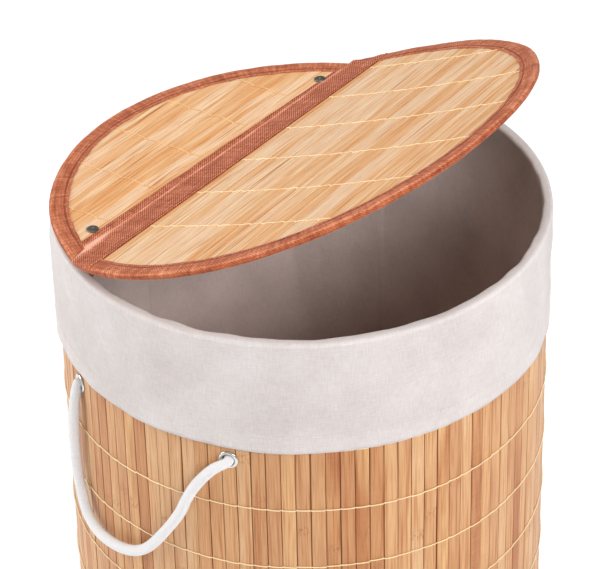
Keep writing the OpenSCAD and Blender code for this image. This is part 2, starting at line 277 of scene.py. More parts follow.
def on_wall(angle, radius, height):
    """The frame of a spot on the wall: its Z points outward and its X down."""
    turn = Matrix.Rotation(angle, 4, "Z")
    return turn @ Matrix.Translation((radius, 0, height)) @ Matrix.Rotation(math.pi / 2, 4, "Y")


STITCH = np.array([0.1, 0.26, 0.5, 0.74, 0.9])          # the points of one stitch, as parts of its pitch
STITCH_PITCH = 3.4 * MM


def sew(pile, count, seam, stitch=STITCH, radius=0.2 * MM, yarn=(0.3 * MM, 0.4)):
    """A row of machine stitches: seam gives the paths at parts of the seam's length, from 0 to 1."""
    for k in range(count):
        for path in seam((k + stitch) / count):
            pile.tube(path, radius, 5, (k * yarn[0], yarn[1], 0))
# ---------- material helpers ----------

def srgb(r, g, b):
    """Linear colour of a screen colour given from 0 to 255."""
    return tuple(c / 12.92 if c <= 0.04045 else ((c + 0.055) / 1.055) ** 2.4
                 for c in (r / 255, g / 255, b / 255)) + (1.0,)


class Paint:
    """One procedural material; put() adds a node and returns its output."""

    def __init__(self, name, roughness=0.6, **fixed):
        self.material = bpy.data.materials.new(name)
        self.material.use_nodes = True
        self.tree = self.material.node_tree
        self.surface = self.tree.nodes["Principled BSDF"]
        self.surface.inputs["Roughness"].default_value = roughness
        for socket, value in fixed.items():
            self.surface.inputs[socket.replace("_", " ")].default_value = value

    def plug(self, socket, value):
        if isinstance(value, bpy.types.NodeSocket):
            self.tree.links.new(value, socket)
        elif value is not None:
            socket.default_value = value

    def put(self, kind, *inputs, out=0, **settings):
        node = self.tree.nodes.new("ShaderNode" + kind)
        for key, value in settings.items():
            setattr(node, key, value)
        for socket, value in zip(node.inputs, inputs):
            self.plug(socket, value)
        return node.outputs[out]

    def maths(self, operation, *inputs):
        return self.put("Math", *inputs, operation=operation)
    def plus(self, base, field, weight, middle=0.0):
        """The base, plus weight times what a field has over middle."""
        if middle:
            field = self.maths("SUBTRACT", field, middle)
        return self.maths("MULTIPLY_ADD", field, weight, base)

    def scaled(self, vector, *scale):
        return self.put("VectorMath", vector, scale, operation="MULTIPLY")

    def noise(self, vector, scale, detail=2.0, roughness=0.5):
        node = self.tree.nodes.new("ShaderNodeTexNoise")
        self.plug(node.inputs["Vector"], vector)
        for key, value in (("Scale", scale), ("Detail", detail), ("Roughness", roughness)):
            node.inputs[key].default_value = value
        return node.outputs[0]

    def ramp(self, factor, *stops):
        """Stops are (place, value): a grey level, a screen colour, or a linear colour with its alpha."""
        node = self.tree.nodes.new("ShaderNodeValToRGB")
        self.plug(node.inputs[0], factor)
        elements = node.color_ramp.elements
        while len(elements) < len(stops):
            elements.new(0.5)
        for element, (place, value) in zip(elements, stops):
            if not hasattr(value, "__len__"):
                value = (value, value, value, 1)
            element.position, element.color = place, value if len(value) == 4 else srgb(*value)
        return node.outputs[0]

    def mix(self, factor, a, b, blend="MIX"):
        node = self.tree.nodes.new("ShaderNodeMix")
        node.data_type, node.blend_type = "RGBA", blend
        for index, value in ((0, factor), (6, a), (7, b)):
            self.plug(node.inputs[index], value)
        return node.outputs[2]

    def pattern(self):
        """The three numbers that each point of a piece carries: its own coordinates."""
        node = self.tree.nodes.new("ShaderNodeSeparateXYZ")
        self.plug(node.inputs[0], self.put("Attribute", attribute_name="pattern", out=1))
        return node.outputs

    def place(self):
        return self.tree.nodes.new("ShaderNodeTexCoord").outputs["Object"]

    def finish(self, colour, height=None, strength=0.3, distance=0.3 * MM, roughness=None):
        self.plug(self.surface.inputs["Base Color"], colour)
        if roughness is not None:
            self.plug(self.surface.inputs["Roughness"], roughness)
        if height is not None:
            node = self.tree.nodes.new("ShaderNodeBump")
            node.inputs["Strength"].default_value = strength
            node.inputs["Distance"].default_value = distance
            self.plug(node.inputs["Height"], height)
            self.tree.links.new(node.outputs[0], self.surface.inputs["Normal"])
        return self.material


def bamboo_paint(name, tones, lines, patches, half_width, edge_burn_and_shade, marks, waver):
    """Split bamboo: a tone for each slat, patches, long thin lines, fibres and a few node marks.
    The pattern is (across the slat, along it, the slat's own number). tones and lines are the
    ramps of the slats and of their thin lines, which waver bends; patches is (scale across,
    stretch along, strength); edge_burn_and_shade says how dark the slat edges are painted, as burnt
    cut edges and as painted shade in the gaps between slats; marks says how dark the node marks are."""
    p = Paint(name, 0.5, Specular_IOR_Level=0.45)
    across, along, number = p.pattern()
    tone = p.put("TexWhiteNoise", None, number, noise_dimensions="1D")
    own = p.maths("MULTIPLY", number, 0.61)
    drifting = p.noise(p.scaled(p.put("CombineXYZ", across, along, own), 0.5, 1, 1), 14, 1)
    seeded = p.put("CombineXYZ", p.plus(across, drifting, waver, 0.5), along, own)
    thin_lines = p.noise(p.scaled(seeded, 1, 0.02, 1), 620, 2, 0.75)
    fibres = p.noise(p.scaled(seeded, 1, 0.018, 1), 2300, 2, 0.7)
    scale, stretch, strength = patches
    cloudy = p.noise(p.scaled(seeded, 1, stretch, 1), scale, 3, 0.6)
    drift = p.plus(tone, cloudy, strength, 0.5)
    colour = p.mix(1.0, p.ramp(drift, *tones), p.ramp(thin_lines, *lines), "MULTIPLY")
    colour = p.mix(0.5, colour, p.ramp(fibres, (0.3, 0.82), (0.7, 1.0)), "MULTIPLY")
    # Node marks: bands of small dark dots where the cane's joints crossed the slat
    where = p.maths("FRACT", p.plus(p.maths("MULTIPLY", tone, 9.7), along, 4.3))
    near = p.maths("ABSOLUTE", p.maths("SUBTRACT", where, 0.5))
    band = p.ramp(near, (0.0, 1.0), (0.012, 0.8), (0.024, 0.0))
    spots = p.ramp(p.noise(p.scaled(seeded, 1, 0.45, 1), 720, 2), (0.5, 0.0), (0.62, 1.0))
    mark = p.maths("MULTIPLY", p.maths("MULTIPLY", band, spots), marks)
    colour = p.mix(mark, colour, srgb(156, 98, 58))
    # The slat edges are darkened: burnt cut edges, and painted shade where the gaps between slats fall in shadow
    rim = p.ramp(p.maths("DIVIDE", p.maths("ABSOLUTE", across), half_width), (0.95, 0.0), (1.0, edge_burn_and_shade))
    colour = p.mix(rim, colour, srgb(150, 92, 50))
    height = p.maths("ADD", p.maths("MULTIPLY", fibres, 0.5), p.maths("MULTIPLY", thin_lines, 0.5))
    return p.finish(colour, height, 0.35, 0.25 * MM, p.ramp(fibres, (0.3, 0.42), (0.7, 0.58)))


wall_bamboo = bamboo_paint(
    "wall_bamboo",
    [(0.0, (174, 112, 66)), (0.16, (206, 156, 108)), (0.3, (217, 180, 140)), (0.45, (186, 128, 82)),
     (0.6, (214, 170, 124)), (0.75, (196, 146, 104)), (0.9, (222, 180, 130)), (1.0, (182, 122, 74))],
    [(0.34, (224, 190, 156)), (0.46, (246, 232, 216)), (0.56, (255, 254, 250)), (0.68, (240, 220, 198))],
    (60, 0.12, 0.5), 4.85 * MM, edge_burn_and_shade=0.7, marks=0.75, waver=0.8 * MM)
lid_bamboo = bamboo_paint(
    "lid_bamboo",
    [(0.0, (229, 172, 112)), (0.2, (236, 191, 142)), (0.38, (243, 211, 173)), (0.5, (237, 202, 172)),
     (0.62, (247, 223, 190)), (0.8, (237, 194, 147)), (1.0, (230, 176, 120))],
    [(0.3, (206, 156, 110)), (0.4, (246, 224, 200)), (0.54, (255, 253, 250)), (0.68, (238, 208, 184))],
    (160, 0.05, 1.8), 5.07 * MM, edge_burn_and_shade=0.25, marks=0.15, waver=4 * MM)


def weave_paint(name, dark, mid, light, pitch, rough, slant=0.0, bumps=0.4, blotch=0.5, sheen=0.1,
                cells=0.1, yarn=1.1, painted_depth_shade=None, wear_and_highlight=None, cloud=38):
    """Woven cloth, plain or, with a slant, twill. The pattern is (along, across, shade from -1 to 1); the shade
    lightens or darkens each point, and carries painted highlights and painted shade.
    """
    p = Paint(name, rough, Sheen_Weight=sheen, Sheen_Roughness=0.5, Specular_IOR_Level=0.2)
    along, across, shade = p.pattern()
    warp = p.maths("SINE", p.maths("MULTIPLY", p.plus(along, across, slant), TAU / pitch))
    weft = p.maths("SINE", p.maths("MULTIPLY", across, TAU / pitch))
    weave = p.plus(warp, weft, 0.35) if slant else p.maths("MULTIPLY", warp, weft)
    flat = p.put("CombineXYZ", along, across, 0.0)
    yarns = p.maths("ADD", *(p.noise(p.scaled(flat, *way), 0.8 / pitch, 2, 0.7)
                             for way in ((0.12, 1, 1), (1, 0.12, 1))))
    value = p.plus(0.5, yarns, yarn, 1.0)
    value = p.plus(value, p.noise(flat, 1.3 / pitch, 2, 0.7), yarn * 0.8, 0.5)
    value = p.plus(value, weave, cells)
    value = p.plus(value, p.noise(flat, cloud, 3), blotch, 0.5)
    value = p.plus(value, shade, 0.5)
    colour = p.ramp(value, (0.0, dark), (0.5, mid), (1.0, light))
    # Where the shade passes 0.5 the colour turns towards a pale colour: a painted highlight on the crease and
    # folds
    if wear_and_highlight:
        colour = p.mix(p.ramp(shade, (0.5, 0.0), (1.0, 0.85)), colour, srgb(*wear_and_highlight))
    # A colour multiplied down the cloth's length: painted shade that deepens into a hollow
    if painted_depth_shade:
        colour = p.mix(1.0, colour, p.ramp(across, *painted_depth_shade), "MULTIPLY")
    return p.finish(colour, p.plus(yarns, weave, 0.5), bumps, 0.35 * MM)


# The cloth is multiplied by a ramp down its length: a little grey on the cuff, and inside the bag darker and
# browner with depth, which is painted shade of the bag's hollow
cotton = weave_paint("liner_cotton", (190, 181, 179), (217, 209, 207), (238, 232, 231),
                     0.8 * MM, 0.92, blotch=0.75, bumps=0.25, sheen=0.12, cells=0.03, yarn=0.6, cloud=20,
                     painted_depth_shade=((0.096, (0.87, 0.87, 0.87, 1)), (0.125, (1.0, 0.95, 0.93, 1)),
                                  (0.4, (1.0, 0.82, 0.75, 1))))
tape = weave_paint("terracotta_tape", (120, 54, 32), (181, 98, 63), (234, 162, 124),
                   2.2 * MM, 0.88, slant=-1.0, bumps=0.5, blotch=0.3, sheen=0.06, cells=0.11, yarn=0.9)
twill = weave_paint("terracotta_twill", (112, 46, 26), (176, 90, 56), (236, 162, 128),
                    2.3 * MM, 0.88, slant=-1.17, bumps=0.7, blotch=0.25, sheen=0.06, cells=0.24, yarn=0.7,
                    wear_and_highlight=(244, 190, 166))
thin_cloth = weave_paint("backing_cloth", (150, 96, 58), (186, 126, 80), (208, 150, 102), 0.8 * MM, 0.95)


def thread_paint(name, dark, light):
    """Twisted yarn. The pattern is (along the yarn, round it from 0 to 1, shade)."""
    p = Paint(name, 0.6, Sheen_Weight=0.2, Specular_IOR_Level=0.35)
    along, turn, shade = p.pattern()
    ply = p.maths("SINE", p.plus(p.maths("MULTIPLY", turn, TAU), along, TAU / (0.9 * MM)))
    value = p.plus(p.maths("ADD", p.noise(p.place(), 900, 2), shade), ply, 0.2)
    return p.finish(p.ramp(value, (0.2, dark), (0.8, light)), ply, 0.5, 0.15 * MM)


yellow_thread = thread_paint("yellow_thread", (250, 216, 158), (255, 242, 206))
cream_thread = thread_paint("cream_thread", (240, 206, 142), (255, 240, 200))
tan_thread = thread_paint("tan_thread", (218, 172, 112), (240, 206, 150))
tape_thread = thread_paint("tape_thread", (112, 46, 32), (150, 72, 52))
hem_thread = thread_paint("liner_thread", (206, 196, 190), (236, 230, 226))


def rope_paint():
    """Fine white braid. The pattern is (along the rope, round it from 0 to 1 and back, 0)."""
    p = Paint("white_rope", 0.8, Sheen_Weight=0.25, Sheen_Roughness=0.4, Specular_IOR_Level=0.25)
    along, turn, _ = p.pattern()
    pitch = p.maths("MULTIPLY", along, TAU / (1.9 * MM))
    braid = p.maths("MULTIPLY", *(p.maths("SINE", p.plus(pitch, turn, strands * TAU)) for strands in (7, -7)))
    fibres = p.noise(p.place(), 1400, 3, 0.7)
    colour = p.ramp(p.plus(fibres, braid, 0.16), (0.2, (198, 197, 198)), (0.6, (229, 229, 230)))
    return p.finish(colour, p.plus(braid, fibres, 0.4), 0.25, 0.2 * MM)


rope_white = rope_paint()


def metal_paint(name, colour, wear_and_highlight, roughness, spread):
    """Plated metal with fine scratches and slightly worn high spots."""
    p = Paint(name, roughness, Metallic=1.0)
    scratches = p.noise(p.scaled(p.place(), 1, 1, 6), 600, 4, 0.7)
    tint = p.ramp(p.noise(p.place(), 160, 3), (0.35, colour), (0.7, wear_and_highlight))
    gloss = p.ramp(scratches, (0.3, roughness - spread), (0.7, roughness + spread))
    return p.finish(tint, scratches, 0.08, 0.1 * MM, gloss)


nickel = metal_paint("nickel", (214, 214, 212), (196, 196, 194), 0.22, 0.1)
steel = metal_paint("plated_steel", (190, 190, 188), (170, 170, 168), 0.34, 0.12)
bronze = metal_paint("dark_bronze", (100, 98, 92), (136, 132, 122), 0.42, 0.14)


def wood_paint(name, dark, light, lines, axis_scale):
    """Planed or bent wood, by the place of each point in the object."""
    p = Paint(name, 0.55, Specular_IOR_Level=0.3)
    here = p.scaled(p.place(), *axis_scale)
    grain = p.noise(here, lines, 4, 0.6)
    pores = p.noise(here, lines * 6, 2, 0.7)
    value = p.plus(p.maths("MULTIPLY", grain, 0.8), pores, 0.35)
    return p.finish(p.ramp(value, (0.35, dark), (0.8, light)), value, 0.3, 0.2 * MM,
                    p.ramp(pores, (0.3, 0.48), (0.7, 0.66)))


bar_wood = wood_paint("batten_wood", (184, 140, 96), (228, 190, 146), 260, (0.06, 1, 1))
hoop_wood = wood_paint("hoop_wood", (176, 132, 90), (216, 176, 130), 260, (0.3, 0.3, 1))
pressed_board = wood_paint("pressed_board", (150, 112, 78), (194, 156, 116), 420, (1, 1, 1))


def plastic_paint():
    """Moulded matte plastic with a faint grain."""
    p = Paint("moulded_plastic", 0.55)
    speckle = p.noise(p.place(), 2600, 2)
    tint = p.ramp(p.noise(p.place(), 70, 2), (0.3, (138, 110, 88)), (0.7, (152, 124, 100)))
    return p.finish(tint, speckle, 0.15, 0.1 * MM)


moulded = plastic_paint()

# ---------- rope handles ----------

ROPE_R = 4 * MM
HANG_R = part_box("rope_right")[1].x - ROPE_R
PIVOT_S = 71.85 * MM
# Route of a hanging handle: (sideways along the wall, height above the eyelets), as in part.scad
ROPE_ROUTE = np.array([
    (PIVOT_S / MM, 0), (64, -5), (57, -13.5), (49.5, -25), (43, -38), (37, -52.5), (26, -71), (12, -91),
    (-0.5, -103), (-15, -110), (-32, -113.5), (-49, -113.5), (-62.5, -107), (-69.5, -92), (-73.7, -78),
    (-75, -51), (-73, -26), (-PIVOT_S / MM, 0)]) * MM

# The rope's ends, from its knot to the eyelet's mouth: (distance from the hamper's axis, drop)
ROPE_ENDS = np.array([(163, 0), (168, 0), (173, 0), (177.6, 0.5)]) * MM


def handle_route(side):
    """Centreline of one whole handle, from the knot behind one eyelet to the other."""
    hang = [(math.sqrt(HANG_R ** 2 - s * s), s, EYELET_Z + h) for s, h in ROPE_ROUTE[1:-1]]
    rear, front = ([(r * math.cos(a), r * math.sin(a), EYELET_Z - drop) for r, drop in ROPE_ENDS]
                   for a in (EYELET_ANGLE, -EYELET_ANGLE))
    return smooth_route(np.array(rear + hang + front[::-1]) * (side, side, 1), 190, 3)


def rope_tube(path, along, radius, sides):
    rings, a = tube_rings(path, radius, sides)
    pile = Pile()
    pile.grid(rings, joined(along[:, None], np.minimum(a, TAU - a)[None] / TAU * 2, 0.0))
    return pile


def make_handle(name, node, side):
    path, along = handle_route(side)
    radius = ROPE_R * (1 + 0.02 * waves(5, along, size=0.05)) - 0.05 * MM
    for mouth in (16 * MM, along[-1] - 16 * MM):        # squeezed where it bends out of the eyelet
        radius = radius - 0.45 * MM * bell(along, mouth, 6 * MM)
    rope = rope_tube(path, along, radius, 20).make(name, rope_white)
    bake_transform(rope)
    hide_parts(node)
    mouth = path[np.argmin(np.abs(along - 14 * MM))]


make_handle("handle_left", "rope_left", -1)
make_handle("handle_right", "rope_right", 1)

for where, angle in EYELETS.items():
    # A knot pulled tight behind the wall
    t = np.linspace(0.35, TAU - 0.1, 90)
    knot = joined(1.95 * (np.sin(t) + 2 * np.sin(2 * t)), 1.95 * (np.cos(t) - 2 * np.cos(2 * t)),
                  -1.8 * np.sin(3 * t))
    path = moved(knot * MM, on_wall(angle, 165.2 * MM, EYELET_Z))
    rope_tube(path, lengths(path), 3.35 * MM, 16).make(
        "tied_" + where, rope_white, "basket", node="knot_" + where, slot="rope")

# ---------- eyelets ----------

BARREL_R, FLANGE_R, FLANGE_T = 4.12 * MM, 7 * MM, 1.3 * MM
FLANGE_ROLL = [(0, 0.05), (0.05, 0.3), (-0.2, 0.62), (-0.6, 0.88), (-1.2, 1.0), (-1.8, 0.96), (-2.3, 0.74)]
BARREL_WALL = [(0.2, 0.36 * FLANGE_T / MM), (0, 0), (0, -3.4), (0.22, -3.6), (0.26, -3.2), (0.26, -0.02)]

for where, angle in EYELETS.items():
    # A rolled flange outside the wall and a barrel through it
    profile = [(FLANGE_R + r * MM, h * FLANGE_T) for r, h in FLANGE_ROLL]
    profile += [(BARREL_R + r * MM, h * MM) for r, h in BARREL_WALL] + [(FLANGE_R - 0.3 * MM, -0.02 * MM)]
    pile = Pile()
    lathe(pile, profile, on_wall(angle, WALL_R + 0.05 * MM, EYELET_Z), 56, join_ends=True)
    pile.make("ring_" + where, nickel, "basket", 60, "eyelet_" + where, "eyelet")

# ---------- wall slats ----------

rng = np.random.default_rng(41)


def slat_section(width, thick, crown, edge):
    """Cross-section of a slat: (across, depth below its face), rounded at its outer edges."""
    h = width / 2
    outer = [(-h, -0.42 * MM), (-h + 0.3 * edge, -0.14 * MM), (-h + edge, -0.02 * MM), (-h / 2, 0.6 * crown),
             (0, crown), (h / 2, 0.6 * crown), (h - edge, -0.02 * MM), (h - 0.3 * edge, -0.14 * MM),
             (h, -0.42 * MM)]
    inner = [(h, -thick + 0.2 * MM), (h - 0.25 * MM, -thick), (-h + 0.25 * MM, -thick), (-h, -thick + 0.2 * MM)]
    return np.array(outer + inner)


def wall_slat(number, height, width):
    """Rings of one wall slat, a little uneven along its edges, and its pattern."""
    section = slat_section(width, SLAT_T, 0.05 * MM, 0.5 * MM)
    lean = rng.normal() * 0.11 * MM
    tip = rng.normal() * 0.011
    back = abs(rng.normal()) * 0.1 * MM
    def uneven(seed, size, layers=5):
        return waves(seed + number, height, size=size, layers=layers)[:, None] * MM

    across, depth = section[:, 0][None], section[:, 1][None]
    own = np.where(across > 0, uneven(1100, 0.07), uneven(1300, 0.07)) * 0.07
    depth = np.minimum(depth + uneven(1500, 0.3, 4) * 0.06 - back - 0.1 * MM + tip * across, 0.06 * MM)
    tags = joined(across, height[:, None], number + 0.5)
    across = across + uneven(900, 0.22) * 0.09 + own * np.abs(np.sign(across)) + lean
    a, r = number * SLAT_PITCH, WALL_R + depth
    c, s = math.cos(a), math.sin(a)
    rings = joined(r * c - across * s, r * s + across * c, height[:, None])
    return rings, tags


DRILLED = {round(a / SLAT_PITCH) % SLATS for a in EYELETS.values()}
whole, drilled = Pile(), Pile()
z = np.linspace(SLAT_LOW, SLAT_HIGH, 56)
slat_heights = np.concatenate([z[:1], z[:1] + 0.4 * MM, z[1:-1], z[-1:] - 0.4 * MM, z[-1:]])
for number in range(SLATS):
    slim = 0.75 * MM if rng.uniform() < 0.06 else 0
    rings, tags = wall_slat(number, slat_heights, SLAT_W - slim + rng.uniform(-0.16, 0.14) * MM)
    (drilled if number in DRILLED else whole).grid(rings, tags)
holed = drilled.make("holed", wall_bamboo)
bore = Pile()
for angle in EYELETS.values():
    lathe(bore, [(BARREL_R + 0.4 * MM, -8 * MM), (BARREL_R + 0.4 * MM, 8 * MM)],
          on_wall(angle, WALL_R, EYELET_Z), 40)
bore_piece = bore.make("bore", wall_bamboo)
cut = holed.modifiers.new("holes", "BOOLEAN")
cut.object, cut.operation, cut.solver = bore_piece, "DIFFERENCE", "EXACT"
bpy.context.view_layer.update()
cut_mesh = bpy.data.meshes.new_from_object(holed.evaluated_get(bpy.context.evaluated_depsgraph_get()))
points = np.array([v.co for v in cut_mesh.vertices])
marks = np.zeros(len(points) * 3, np.float32)
cut_mesh.attributes["pattern"].data.foreach_get("vector", marks)
whole.add(points, marks.reshape(-1, 3), [list(f.vertices) for f in cut_mesh.polygons])
for extra in (holed, bore_piece):
    bpy.data.objects.remove(extra)
whole.make("slats", wall_bamboo, "basket", 50, "wall_slats", "bamboo")

# ---------- wall threads ----------

def wall_thread_row(pile, row):
    """One row of thread: an arc over each slat, a dip into each gap and a small stitch there."""
    z0 = THREAD_TOP - row * THREAD_PITCH
    shift = rng.normal(size=SLATS) * 0.2 * MM
    sag = rng.uniform(0.0, 0.3, SLATS) * MM
    # shade: the thread is painted lighter where it dips into the gaps between slats, a painted highlight on it
    # there
    path, shade = [], []
    for number in range(SLATS):
        turn = number * SLAT_PITCH
        drift = 0.9 * MM * waves(60 + row, math.cos(turn), math.sin(turn), size=0.9)
        for across, out, low in ((-0.5, 0.12, 0), (-0.45, 0.34, 0.15), (-0.25, 0.42, 0.75), (0, 0.44, 1.0),
                                 (0.25, 0.42, 0.75), (0.45, 0.34, 0.15)):
            a = (number + across) * SLAT_PITCH
            r = (WALL_R + out * MM) / math.cos(across * SLAT_PITCH) if abs(across) < 0.5 else WALL_R + out * MM
            z = z0 + drift + shift[number] - low * sag[number] - across * 0.25 * MM
            path.append((r * math.cos(a), r * math.sin(a), z))
            shade.append(0.15 * (1 - low))
    path = np.array(path)
    rings, a = tube_rings(np.concatenate([path[-1:], path, path[:1]]), 0.42 * MM, 6)
    along = np.arange(len(path)) * 1.7 * MM
    pile.grid(rings[1:-1], joined(along[:, None], a[None] / TAU, np.array(shade)[:, None]), join_ends=True)
    for number in range(SLATS):
        a = (number - 0.5) * SLAT_PITCH
        side = np.array([-math.sin(a), math.cos(a), 0])
        out = np.array([math.cos(a), math.sin(a), 0])
        bend = [path[number * 6] + (out * o + side * s + np.array([0, 0, h])) * MM for s, o, h in
                ((-0.4, -0.2, -0.3), (-0.2, 0.2, -0.2), (0.0, 0.3, 0.0), (0.2, 0.2, 0.2), (0.4, -0.2, 0.3))]
        pile.tube(bend, 0.2 * MM, 5, (0.3 * MM, 0.2, 0.0))


threads = Pile()
for row in range(THREAD_ROWS):
    wall_thread_row(threads, row)
threads.make("wall_stitching", yellow_thread, "basket", 70, "wall_threads", "thread")

# ---------- liner ----------

CUFF_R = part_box("liner")[1].x - 0.25 * MM
BAG_R = 157.65 * MM
RIM_IN = 169.25 * MM
CUFF_H = 90 * MM
HEM = 15 * MM
CLOTH = 0.5 * MM
BAG_FLOOR = 4.8 * MM


def liner_profile():
    """(radius, height, kind) down the cloth from the cuff's hem to the middle of the bag's floor."""
    rows = [(CUFF_R, z, 0) for z in np.linspace(RIM - CUFF_H, RIM - 3.6 * MM, 32)]
    mid, half = (CUFF_R + RIM_IN) / 2, (CUFF_R - RIM_IN) / 2
    for t in np.linspace(0, math.pi, 17)[1:-1]:
        c, s = math.cos(t), math.sin(t)
        rows.append((mid + half * np.sign(c) * abs(c) ** 0.6, RIM - 3.8 * MM + 3.7 * MM * abs(s) ** 0.6, 1))
    bag = np.linspace(RIM - 3.6 * MM, RIM - 100 * MM, 36), np.linspace(RIM - 106 * MM, 16 * MM, 80)
    for z in np.concatenate(bag):
        r = BAG_R + (RIM_IN - BAG_R) * float(step(RIM - 95 * MM, RIM - 25 * MM, z))
        rows.append((r, z, 2))
    for t in np.linspace(0, math.pi / 2, 7)[1:]:
        rows.append((BAG_R - 10 * MM * (1 - math.cos(t)), BAG_FLOOR + 11 * MM * (1 - math.sin(t)), 3))
    for r in np.linspace(BAG_R - 12 * MM, 3 * MM, 24):
        rows.append((r, BAG_FLOOR, 3))
    return np.array(rows)


profile = liner_profile()
columns = 480
angles = np.linspace(0, TAU, columns, endpoint=False)
ca, sa = np.cos(angles)[None], np.sin(angles)[None]
radius, height, kind = (profile[:, k][:, None] for k in range(3))
run = np.concatenate([[0], np.cumsum(np.hypot(*np.diff(profile[:, :2], axis=0).T))])[:, None]
x0, y0 = PRINT_R * ca, PRINT_R * sa
hem_top = RIM - CUFF_H + HEM
on_cuff = (kind == 0) * step(RIM - 2 * MM, RIM - 25 * MM, height)
down = step(RIM - 20 * MM, RIM - 150 * MM, height) * (kind == 2)
soft = waves(3, x0, y0, height * 0.35, size=0.085)
fine = waves(4, x0 + height * 0.5, y0 - height * 0.5, height, size=0.03)
drag = waves(8, x0 * 1.4 + height, y0 * 1.4, height * 0.6, size=0.05)
push = on_cuff * (0.6 * soft + 0.2 * fine + 0.3 * drag + 0.6) * MM
hem = (kind == 0) * (1 - step(hem_top - 1.6 * MM, hem_top - 0.4 * MM, height))
seam_dip = (kind == 0) * bell(height, hem_top, 0.9 * MM)
push = push + 0.3 * MM * hem - 0.18 * MM * seam_dip
sags = waves(6, x0, y0, height * 0.12, size=0.10)
creases = waves(7, x0 + height * 0.22, y0, height * 0.4, size=0.04)
push = push - down * (np.abs(sags) * 2.2 + np.abs(creases) * 0.5) * MM
SEAMS = (math.radians(90.6), math.radians(18.8))         # upright seams of the bag
seam_line = sum(bell(angles[None], a, 0.008) for a in SEAMS) * (kind == 2)
lap = sum(step(a - 0.004, a + 0.006, angles[None]) * (1 - step(a + 0.04, a + 0.4, angles[None]))
          for a in SEAMS)
push = push - (kind == 2) * 0.7 * MM * lap - 0.5 * MM * seam_line
push = push + (kind == 1) * (radius < 0.1725) * 0.45 * MM * waves(15, x0, y0, size=0.024)
r = radius + push
z = height + (kind == 0) * (1 - step(RIM - CUFF_H, RIM - CUFF_H + 40 * MM, height)) * MM * (
    0.7 * waves(11, x0, y0, size=0.2) + 0.25 * waves(12, x0, y0, size=0.05))
z = z + (kind == 1) * (0.22 * waves(13, x0, y0, size=0.09)) * MM
z = z - (kind == 1) * step(0.14, 0.17, y0) * 0.55 * MM    # pressed down under the rear half of the lid
z = z + (kind == 3) * step(BAG_R, BAG_R - 20 * MM, radius) * 1.1 * MM * np.abs(
    waves(14, radius * ca, radius * sa, size=0.07))
rings = joined(r * ca, r * sa, z)
bands = waves(16, x0, y0, height * 0.1, size=0.07)
# The shade: the rim's fold is painted lighter, a painted highlight where it faces the lamps; painted shade along
# the hem's seam and the bag's upright seams; the hem a little lighter; soft random bands inside the bag
tags = joined(angles[None] * PRINT_R, run, 0.35 * (kind == 1) + 0.16 * (kind == 2) * bands
              + 0.1 * hem - 0.35 * seam_dip - 0.3 * seam_line)

# Slits for the brackets of the bar
left, right_post = centre("stud_post_left"), centre("stud_post_right")
bar_way = (right_post - left).normalized()
bar_mid = (left + right_post) / 2
bar_frame = Matrix.Translation((bar_mid.x, bar_mid.y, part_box("lid_bar")[1].z)) @ Matrix.Rotation(
    math.atan2(bar_way.y, bar_way.x), 4, "Z")
inside = moved(rings, bar_frame.inverted())
bracket_low, bracket_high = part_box("bar_bracket_left")
slit = (np.abs(inside[..., 0]) > 0.12) & (np.abs(inside[..., 1]) < 7.5 * MM) & (r < 172 * MM) & (
    z > bracket_low.z + 2 * MM) & (z < bracket_high.z - 1 * MM)
liner = Pile()
rows = len(profile)
faces = []
for i in range(rows - 1):
    for k in range(columns):
        n = (k + 1) % columns
        if not (slit[i, k] and slit[i, n] and slit[i + 1, k] and slit[i + 1, n]):
            faces.append([i * columns + k, i * columns + n, (i + 1) * columns + n, (i + 1) * columns + k])
faces.append(list(range((rows - 1) * columns, rows * columns)))
liner.add(rings, tags.reshape(-1, 3), faces)
cloth = liner.make("liner_cloth", cotton, sharp=80)
thick = cloth.modifiers.new("cloth", "SOLIDIFY")
thick.thickness, thick.offset = CLOTH, 0
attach(cloth, "basket")
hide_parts("liner")
hem_row = np.argmin(np.abs(profile[:, 1] - hem_top) + (profile[:, 2] > 0))


def hem_seam(part):
    a = part * TAU
    rr = np.interp(a, angles, r[hem_row], period=TAU) + np.array([0.14, 0.3, 0.34, 0.3, 0.14]) * MM
    return [joined(rr * np.cos(a), rr * np.sin(a), np.interp(a, angles, z[hem_row], period=TAU))]


hem_line = Pile()
sew(hem_line, 300, hem_seam, np.array([0.08, 0.25, 0.5, 0.75, 0.92]), 0.16 * MM, (0, 0))
hem_piece = hem_line.make("liner_hem_stitches", hem_thread, "basket", slot="liner")

# ---------- tape round the foot ----------

FOOT_R, FOOT_H = WALL_R + 0.15 * MM, 20 * MM


